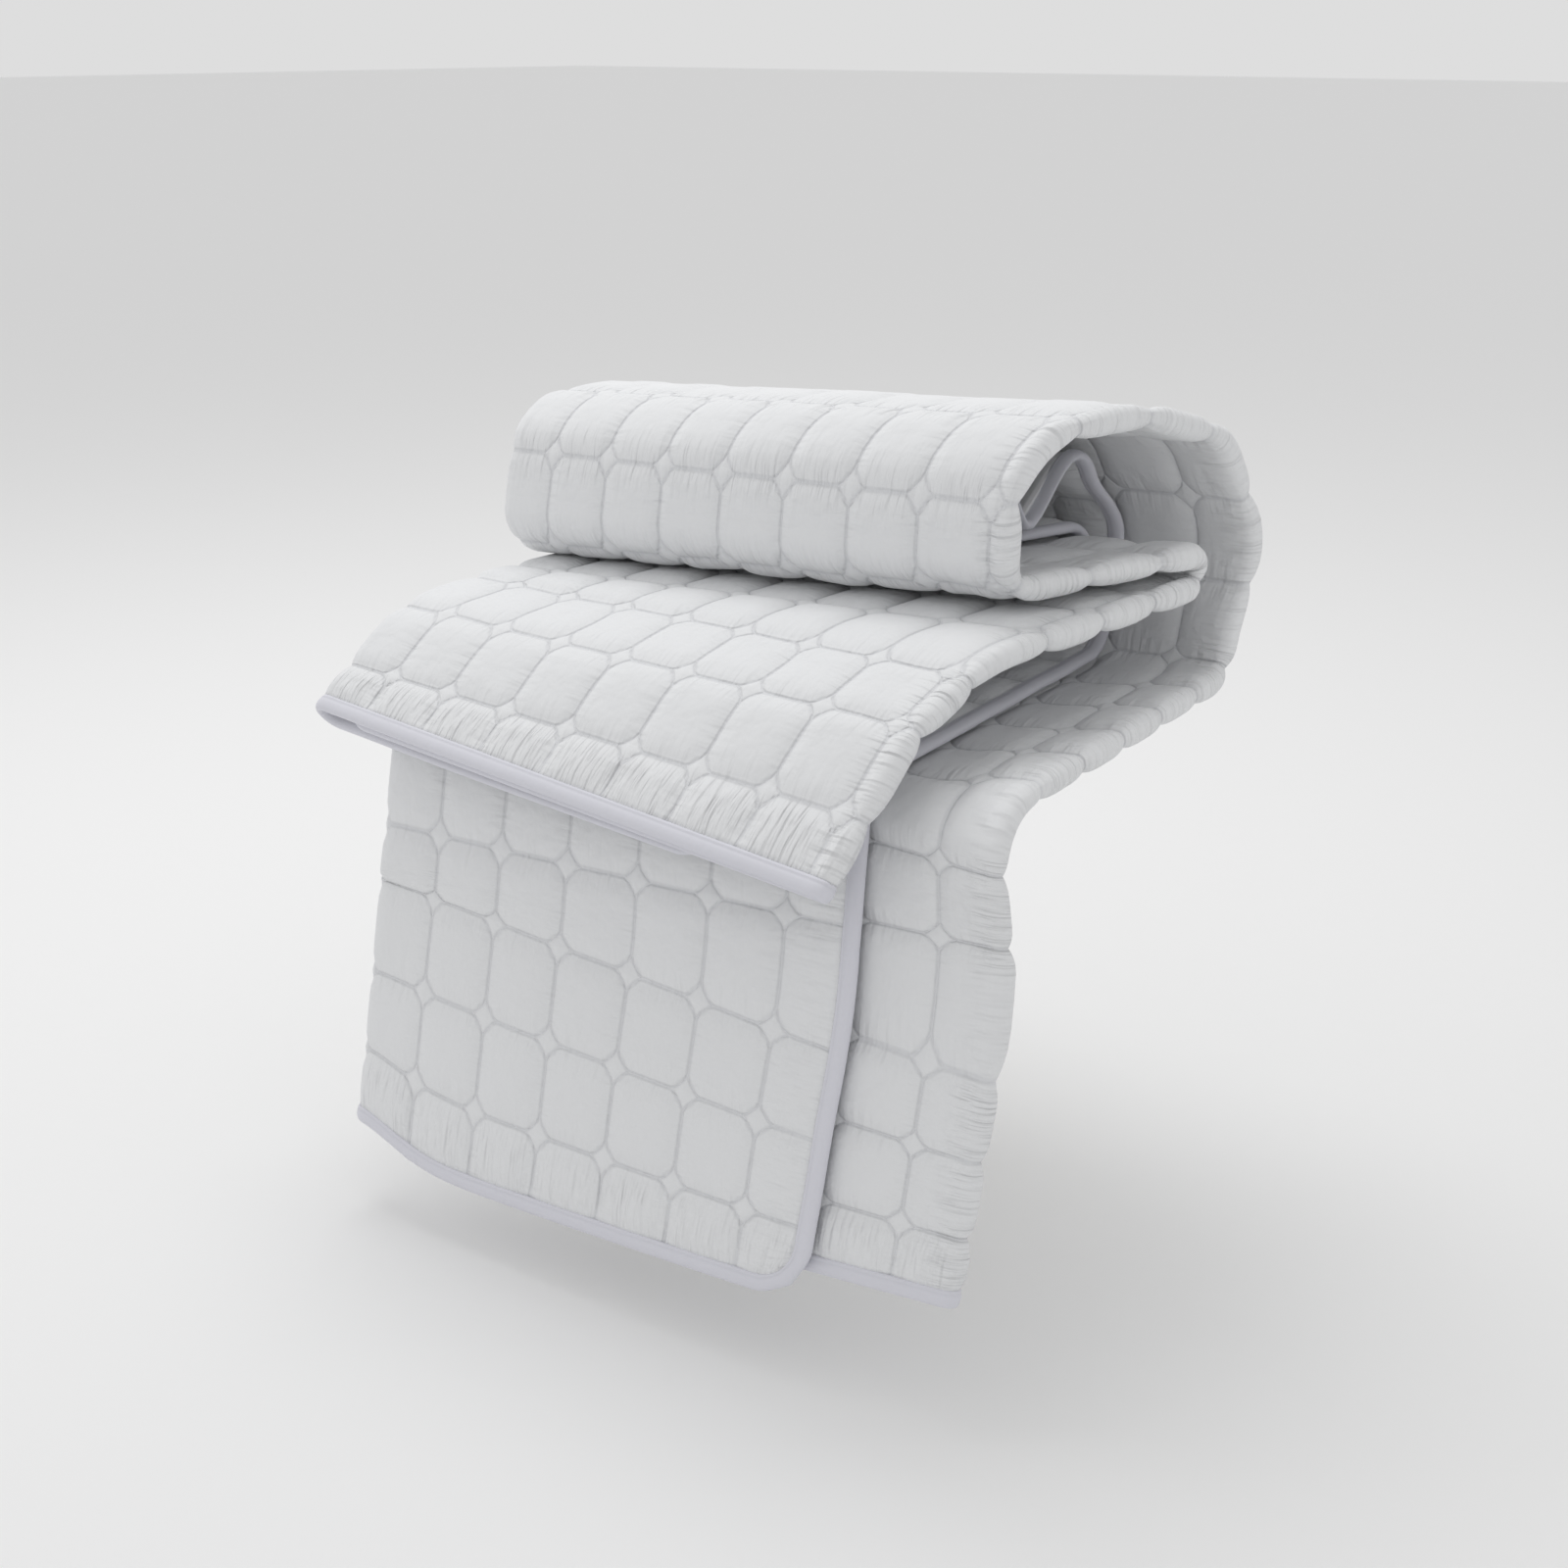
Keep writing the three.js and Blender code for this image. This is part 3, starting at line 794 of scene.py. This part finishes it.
@dataclass(frozen=True)
class StepPlan:
    """Where a grid of the flat pad has its lines: close beside the stitching, folds and ends."""

    fine_offsets: tuple[float, ...] = (0, 0.0038, 0.0085, 0.015, 0.0245)
    plain_offsets: tuple[float, ...] = (0, 0.012, 0.025)
    least: float = 0.0012
    corner_steps: int = 6

    def lines(self, length: float, seams: Iterable[float], plain: Pair,
              extra: Iterable[float], corner: float) -> Array:
        """Lists the lines across one direction of the pad.

        Args:
            length: The pad's size in this direction.
            seams: Places of the stitched lines.
            plain: A stretch that nobody sees, which has fewer lines.
            extra: Further lines, in folds and bends.
            corner: Radius of the pad's corners.

        Returns:
            The places of the lines, from 0 to length.
        """
        ends = [corner * step / self.corner_steps for step in range(self.corner_steps + 1)]
        kept = [*ends, *(length - end for end in ends), *extra]
        seams = list(seams)
        candidates = [(first + last) / 2 for first, last in zip(seams, seams[1:])]
        for at in seams:
            offsets = self.plain_offsets if plain[0] < at < plain[1] else self.fine_offsets
            candidates += [at + sign * offset for offset in offsets for sign in (-1, 1)]
        inside = [place for place in candidates if 0 < place < length]
        places: list[float] = []
        for place in sorted(set(np.round(kept, 6)) | set(np.round(inside, 6))):
            if not places or place - places[-1] > self.least:
                places.append(float(place))
        places[-1] = length
        return np.array(places)


@dataclass(frozen=True)
class GatherPlan:
    """How strongly the cloth is drawn into gathers beside its stitching, its folds and its hems."""

    row: float = 0.42
    row_reach: float = 0.02
    column: float = 0.34
    column_reach: float = 0.014
    past_diamond: Pair = (0.004, 0.014)
    roll_start: Pair = (1.05, 1.15)
    roll_end: Pair = (1.5, 1.56)
    row_on_roll: float = 0.65
    column_on_roll: float = 0.1
    hem: float = 0.75
    hem_reach: Pair = (0.03, 0.052)
    flap: Pair = (1.8, 1.86)
    hem_on_flap: float = 0.45
    side: float = 0.5
    side_reach: Pair = (0.022, 0.05)
    fold: float = 1.1
    fold_reach: Pair = (0.01, 0.042)

    def strengths(self, form: PadForm, quilting: Quilting, u: Array, v: Array) -> tuple[Array, Array]:
        """Finds how strongly the cloth is gathered.

        Args:
            form: The pad's folds and windings.
            quilting: The pad's stitched pattern.
            u: Flat places across the pad.
            v: Flat places along the pad.

        Returns:
            The strength of the gathers that cross the rows, and of those that cross the columns.
        """
        du, dv = (np.abs(part) for part in quilting.from_seams(u, v))
        starts = form.part_starts
        outside = smooth_blend(u, starts[1], starts[2]) * (u < starts[4])
        rolled = smooth_blend(v, *self.roll_start) * (1 - smooth_blend(v, *self.roll_end)) * outside
        flapped = smooth_blend(v, *self.flap) * outside
        near_row = np.exp(-((dv / self.row_reach) ** 2)) * smooth_blend(du, *self.past_diamond)
        near_column = np.exp(-((du / self.column_reach) ** 2)) * smooth_blend(dv, *self.past_diamond)
        hem = np.minimum(v, form.length - v)
        side = np.minimum(u, form.width - u)
        fold = np.abs(u - starts[1] - form.part_lengths[1] / 2)
        rows = (self.row + self.row_on_roll * rolled) * near_row
        rows += (self.hem + self.hem_on_flap * flapped) * (1 - smooth_blend(hem, *self.hem_reach))
        columns = (self.column + self.column_on_roll * rolled) * near_column
        columns += self.side * (1 - smooth_blend(side, *self.side_reach))
        columns += self.fold * (1 - smooth_blend(fold, *self.fold_reach))
        return rows, columns


@dataclass(frozen=True)
class QuiltedPad:
    """The quilted pad as one closed cloth: quilted face, backing and the rim between them."""

    NAME = "quilted_cover"
    FLAT = "flat"
    ROW_GATHERS = "row_gathers"
    COLUMN_GATHERS = "column_gathers"
    STITCH_AWAY = "stitch_away"

    form: PadForm
    thickness: float = 0.008
    edge_rise: float = 0.0026
    edge_reach: Pair = (-0.004, 0.016)
    backing_rise: float = 0.0024
    backing_every: int = 3
    strip_margin: float = 0.05
    toe_margin: float = 0.06
    flap_margin: float = 0.12
    plan: StepPlan = StepPlan()
    gathers: GatherPlan = GatherPlan()

    @property
    def quilting(self) -> Quilting:
        """The pad's stitched pattern."""
        return Quilting.for_pad(self.form)

    def grid_lines(self) -> tuple[Array, Array]:
        """Lists the grid's lines across and along the pad."""
        form = self.form
        strip = (-math.inf, float(form.part_starts[1]) - form.strip_width - self.strip_margin)
        toe = form.path.start_of("front toe") + self.toe_margin
        flap = form.path.start_of("flap top") - self.flap_margin
        columns, rows = self.quilting.column_places(), self.quilting.row_places()
        us = self.plan.lines(form.width, columns, strip, form.fold_places(), form.corner_round)
        vs = self.plan.lines(form.length, rows, (toe, flap), form.bend_places(), form.corner_round)
        return us, vs

    def face_rise(self, u: Array, v: Array) -> Array:
        """Height of the quilted face above the pad's middle surface."""
        form = self.form
        rise = self.thickness / 2 + self.quilting.relief(u, v)
        for crease in CREASES:
            rise = rise + crease.relief(u, v)
        near = np.minimum(np.minimum(u, form.width - u), np.minimum(v, form.length - v))
        return mix(self.edge_rise, rise, smooth_blend(near, *self.edge_reach))

    def backing_depth(self, u: Array, v: Array) -> Array:
        """Depth of the backing below the pad's middle surface."""
        away, _ = self.quilting.stitch_away(u, v)
        swell = 1 - (1 - np.clip(away / (self.quilting.front_pitch / 2), 0, 1)) ** 2
        return self.thickness / 2 - self.backing_rise * (1 - swell)

    def _face_triangles(self, grid: Array, us: Array, vs: Array) -> Array:
        """Makes a grid's triangles, with their long sides along the diamonds' sides."""
        a, b = grid[:-1, :-1], grid[:-1, 1:]
        d, c = grid[1:, :-1], grid[1:, 1:]
        mid_u = (us[:-1] + us[1:]) / 2
        mid_v = (vs[:-1] + vs[1:]) / 2
        du, dv = self.quilting.from_seams(*np.meshgrid(mid_u, mid_v))
        slanted = (du * dv > 0)[..., None]
        first = np.where(slanted, np.stack([a, b, d], -1), np.stack([a, b, c], -1))
        second = np.where(slanted, np.stack([b, c, d], -1), np.stack([a, c, d], -1))
        return np.concatenate([first.reshape(-1, 3), second.reshape(-1, 3)])

    @staticmethod
    def _rim(fine: Array, coarse: Array, kept: Array, flip: bool) -> list[list[int]]:
        """Joins an edge of the face to the backing's edge, which keeps only some of its lines."""
        triangles: list[list[int]] = []
        under = 0
        for i in range(len(fine) - 1):
            triangles.append([fine[i + 1], fine[i], coarse[under]])
            if kept[i + 1]:
                triangles.append([fine[i + 1], coarse[under], coarse[under + 1]])
                under += 1
        return [triangle[::-1] for triangle in triangles] if flip else triangles

    def _kept(self, count: int) -> Array:
        """Marks the lines that the backing keeps, and the last one."""
        kept = np.arange(count) % self.backing_every == 0
        kept[-1] = True
        return kept

    def build(self) -> bpy.types.Object:
        """Builds the pad's mesh with its flat places and gathers.

        Returns:
            The pad's object.
        """
        us, vs = self.grid_lines()
        u, v = (part.ravel() for part in np.meshgrid(us, vs))
        points, facing = self.form.place(u, v)
        face = points + facing * self.face_rise(u, v)[:, None]
        keep_u, keep_v = self._kept(len(us)), self._kept(len(vs))
        kept = (keep_v[:, None] & keep_u[None, :]).ravel()
        backing = (points - facing * self.backing_depth(u, v)[:, None])[kept]
        grid = np.arange(len(face)).reshape(len(vs), len(us))
        under = (len(face) + np.arange(len(backing))).reshape(int(keep_v.sum()), int(keep_u.sum()))
        face_triangles = self._face_triangles(grid, us, vs)
        back_triangles = self._face_triangles(under, us[keep_u], vs[keep_v])[:, ::-1]
        rims = []
        for end, flip in ((0, False), (-1, True)):
            rims += self._rim(grid[end], under[end], keep_u, flip)
            rims += self._rim(grid[:, end], under[:, end], keep_v, not flip)
        triangles = np.concatenate([face_triangles, back_triangles, np.array(rims)])
        all_points = np.concatenate([face, backing])
        all_u, all_v = np.concatenate([u, u[kept]]), np.concatenate([v, v[kept]])
        mesh = new_mesh(self.NAME, all_points, triangles)
        set_uv(mesh, self.FLAT, np.stack([all_u, all_v], axis=1))
        rows, columns = self.gathers.strengths(self.form, self.quilting, all_u, all_v)
        set_numbers(mesh, self.ROW_GATHERS, rows)
        set_numbers(mesh, self.COLUMN_GATHERS, columns)
        set_numbers(mesh, self.STITCH_AWAY, self.quilting.stitch_away(all_u, all_v)[0])
        mesh.materials.append(QuiltedCloth().material())
        mesh.materials.append(BACKING_CLOTH.material())
        slots = np.zeros(len(triangles), dtype=np.int32)
        slots[len(face_triangles):len(face_triangles) + len(back_triangles)] = 1
        mesh.polygons.foreach_set("material_index", slots)
        return shown(mesh)


@dataclass(frozen=True)
class EdgeBinding:
    """The tape folded over the pad's edge, all the way round.

    half_section is the upper half of the tape's section: how far out and how far up.
    """

    NAME = "binding"
    AROUND = "around"

    form: PadForm
    edge_step: float = 0.007
    corner_step: float = 0.0045
    least: float = 0.0015
    probe: float = 0.004
    half_section: tuple[Pair, ...] = (
        (-0.0016, 0.0), (-0.0016, 0.0036), (-0.0004, 0.0044), (0.0008, 0.0047), (0.0018, 0.0042),
        (0.003, 0.0049), (0.0058, 0.005), (0.0088, 0.0045), (0.0112, 0.0034), (0.0127, 0.0018),
        (0.0132, 0.0),
    )

    def _side(self, length: float, bends: Iterable[float]) -> Array:
        """Places along one side of the pad's outline, its last place left out."""
        corner = self.form.corner_round
        ends = np.arange(0, corner, self.corner_step)
        count = math.ceil((length - 2 * corner) / self.edge_step)
        middle = np.linspace(corner, length - corner, count + 1)
        places = np.concatenate([ends, middle, length - ends[::-1], bends])
        places = np.unique(np.round(places, 6))
        apart = np.concatenate([[True], np.diff(places) > self.least])
        return places[apart][:-1]

    def outline(self) -> tuple[Array, Array]:
        """Walks round the pad's flat outline.

        Returns:
            The flat places, across and along.
        """
        form = self.form
        us = self._side(form.width, form.fold_places())
        vs = self._side(form.length, form.bend_places())
        left, hem = np.zeros(len(vs)), np.zeros(len(us))
        u = np.concatenate([us, left + form.width, turned_back(us, form.width), left])
        v = np.concatenate([hem, vs, hem + form.length, turned_back(vs, form.length)])
        return u, v

    def build(self) -> bpy.types.Object:
        """Builds the tape as one closed ring.

        Returns:
            The tape's object.
        """
        form = self.form
        u, v = self.outline()
        round_u, round_v = form.round_corners(u, v)
        inner_u = np.clip(round_u, form.corner_round, form.width - form.corner_round)
        inner_v = np.clip(round_v, form.corner_round, form.length - form.corner_round)
        step = unit(np.stack([inner_u - round_u, inner_v - round_v], axis=1)) * self.probe
        edge, facing = form.place(u, v)
        probe_u = np.clip(u + step[:, 0], 0, form.width)
        probe_v = np.clip(v + step[:, 1], 0, form.length)
        inside, _ = form.place(probe_u, probe_v)
        outward = edge - inside
        outward -= facing * (outward * facing).sum(axis=1)[:, None]
        outward = unit(outward)
        below = [(out, -up) for out, up in self.half_section[-2:0:-1]]
        section = np.array([*self.half_section, *below])
        out, up = section[None, :, :1], section[None, :, 1:]
        points = (edge[:, None] + outward[:, None] * out + facing[:, None] * up).reshape(-1, 3)
        count, sides = len(u), len(section)
        ring = np.arange(count * sides).reshape(count, sides)
        after = np.roll(ring, -1, axis=0)
        a, b = ring, np.roll(ring, -1, axis=1)
        c, d = np.roll(after, -1, axis=1), after
        quads = np.stack([a, d, c, b], axis=-1).reshape(-1, 4)
        mesh = new_mesh(self.NAME, points, quads)
        distance = np.concatenate([[0], np.cumsum(np.linalg.norm(np.diff(edge, axis=0), axis=1))])
        around = np.cumsum(np.concatenate([[0], np.linalg.norm(np.diff(section, axis=0), axis=1)]))
        flat = np.stack([np.repeat(distance, sides), np.tile(around, count)], axis=1)
        set_uv(mesh, self.AROUND, flat)
        mesh.materials.append(BindingTape().material())
        return shown(mesh)


def turned_back(places: Array, length: float) -> Array:
    """Lists a side's places for the walk back from its far end."""
    return np.concatenate([[length], places[:0:-1]])


def new_mesh(name: str, points: Array, faces: Array) -> bpy.types.Mesh:
    """Makes a smooth mesh.

    Args:
        name: The mesh's name.
        points: Its points.
        faces: Its faces, each a row of point numbers.

    Returns:
        The mesh.
    """
    mesh = bpy.data.meshes.new(name)
    corners = faces.shape[1]
    mesh.vertices.add(len(points))
    mesh.vertices.foreach_set("co", points.astype(np.float32).ravel())
    mesh.loops.add(faces.size)
    mesh.loops.foreach_set("vertex_index", faces.astype(np.int32).ravel())
    mesh.polygons.add(len(faces))
    mesh.polygons.foreach_set("loop_start", np.arange(0, faces.size, corners, dtype=np.int32))
    mesh.update(calc_edges=True)
    mesh.validate()
    mesh.polygons.foreach_set("use_smooth", np.ones(len(faces), dtype=bool))
    return mesh


def set_uv(mesh: bpy.types.Mesh, name: str, flat: Array) -> None:
    """Gives each point of a mesh its flat place."""
    layer = mesh.uv_layers.new(name=name)
    corners = np.zeros(len(mesh.loops), dtype=np.int32)
    mesh.loops.foreach_get("vertex_index", corners)
    layer.data.foreach_set("uv", flat[corners].astype(np.float32).ravel())


def set_numbers(mesh: bpy.types.Mesh, name: str, values: Array) -> None:
    """Gives each point of a mesh a number under a name."""
    attribute = mesh.attributes.new(name, "FLOAT", "POINT")
    attribute.data.foreach_set("value", values.astype(np.float32))


def shown(mesh: bpy.types.Mesh) -> bpy.types.Object:
    """Puts a mesh into the scene as an object."""
    piece = bpy.data.objects.new(mesh.name, mesh)
    bpy.context.scene.collection.objects.link(piece)
    return piece


@dataclass(frozen=True)
class PedestalTable:
    """The low table under the cloth: its three parts keep their shapes and get a finish."""

    parts: tuple[str, ...] = ("table_top", "table_column", "table_foot")

    def dress(self) -> None:
        """Paints the table's parts."""
        paint = SATIN_PAINT.material()
        for name in self.parts:
            part = bpy.data.objects[name]
            part.data.materials.clear()
            part.data.materials.append(paint)
            log.info("painted %s", name)


@dataclass(frozen=True)
class LightPanel:
    """One soft square light panel."""

    name: str
    place: Point
    size: float
    power: float

    def hang(self, target: Point) -> None:
        """Hangs the panel so that it points at a target."""
        light = bpy.data.lights.new(self.name, "AREA")
        light.shape = "SQUARE"
        light.size = self.size
        light.energy = self.power
        piece = bpy.data.objects.new(self.name, light)
        piece.location = self.place
        piece.rotation_euler = (Vector(target) - Vector(self.place)).to_track_quat("-Z", "Y").to_euler()
        bpy.context.scene.collection.objects.link(piece)


@dataclass(frozen=True)
class Studio:
    """Pale floor, soft light and the camera."""

    camera_place: Point = (1.19, -1.442, 1.025)
    camera_azimuth: float = 39.72
    camera_elevation: float = 19.53
    camera_lens: float = 49.23
    sensor: float = 36.0
    floor_reach: float = 40.0
    floor_drop: float = 0.0002
    sky: float = 0.73
    view_reach: float = 200
    middle: Point = (0.0, 0.0, 0.5)
    panels: tuple[LightPanel, ...] = (
        LightPanel("top_light", (-0.9, 0.5, 3.0), 1.8, 26),
        LightPanel("side_light", (-2.6, -1.2, 1.7), 1.4, 3),
    )

    def floor(self) -> None:
        """Lays the floor."""
        corners = np.array([(-1, -1), (1, -1), (1, 1), (-1, 1)]) * self.floor_reach
        corners = np.insert(corners, 2, -self.floor_drop, axis=1)
        floor = shown(new_mesh("floor", corners, np.array([[0, 1, 2, 3]])))
        floor.data.materials.append(STUDIO_FLOOR.material())

    def light(self) -> None:
        """Lights the scene softly from above and a little from the left."""
        world = bpy.data.worlds.new("studio")
        world.use_nodes = True
        background = world.node_tree.nodes["Background"]
        background.inputs["Color"].default_value = (1, 1, 1, 1)
        background.inputs["Strength"].default_value = self.sky
        bpy.context.scene.world = world
        bpy.context.scene.view_settings.view_transform = "Standard"
        for panel in self.panels:
            panel.hang(self.middle)

    def camera(self) -> None:
        """Places the camera."""
        data = bpy.data.cameras.new("camera")
        data.lens = self.camera_lens
        data.sensor_width = self.sensor
        data.clip_end = self.view_reach
        camera = bpy.data.objects.new("camera", data)
        camera.location = self.camera_place
        turn, tilt = math.radians(self.camera_azimuth), math.radians(90 - self.camera_elevation)
        camera.rotation_euler = (tilt, 0, turn)
        bpy.context.scene.collection.objects.link(camera)
        bpy.context.scene.camera = camera

    def build(self) -> None:
        """Sets up the floor, the lights and the camera."""
        self.floor()
        self.light()
        self.camera()


def main() -> None:
    """Builds the pad, its binding, the table's finish and the studio."""
    logging.basicConfig(level=logging.INFO, format="%(message)s")
    form = PadForm()
    pad = QuiltedPad(form).build()
    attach(pad, BODY)
    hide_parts("quilted_pad")
    log.info("quilted pad: %d faces", len(pad.data.polygons))
    binding = EdgeBinding(form).build()
    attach(binding, BODY)
    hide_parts("edge_binding")
    log.info("edge binding: %d faces", len(binding.data.polygons))
    flat = (form.width, form.length)
    PedestalTable().dress()
    Studio().build()


if __name__ == "__main__":
    main()
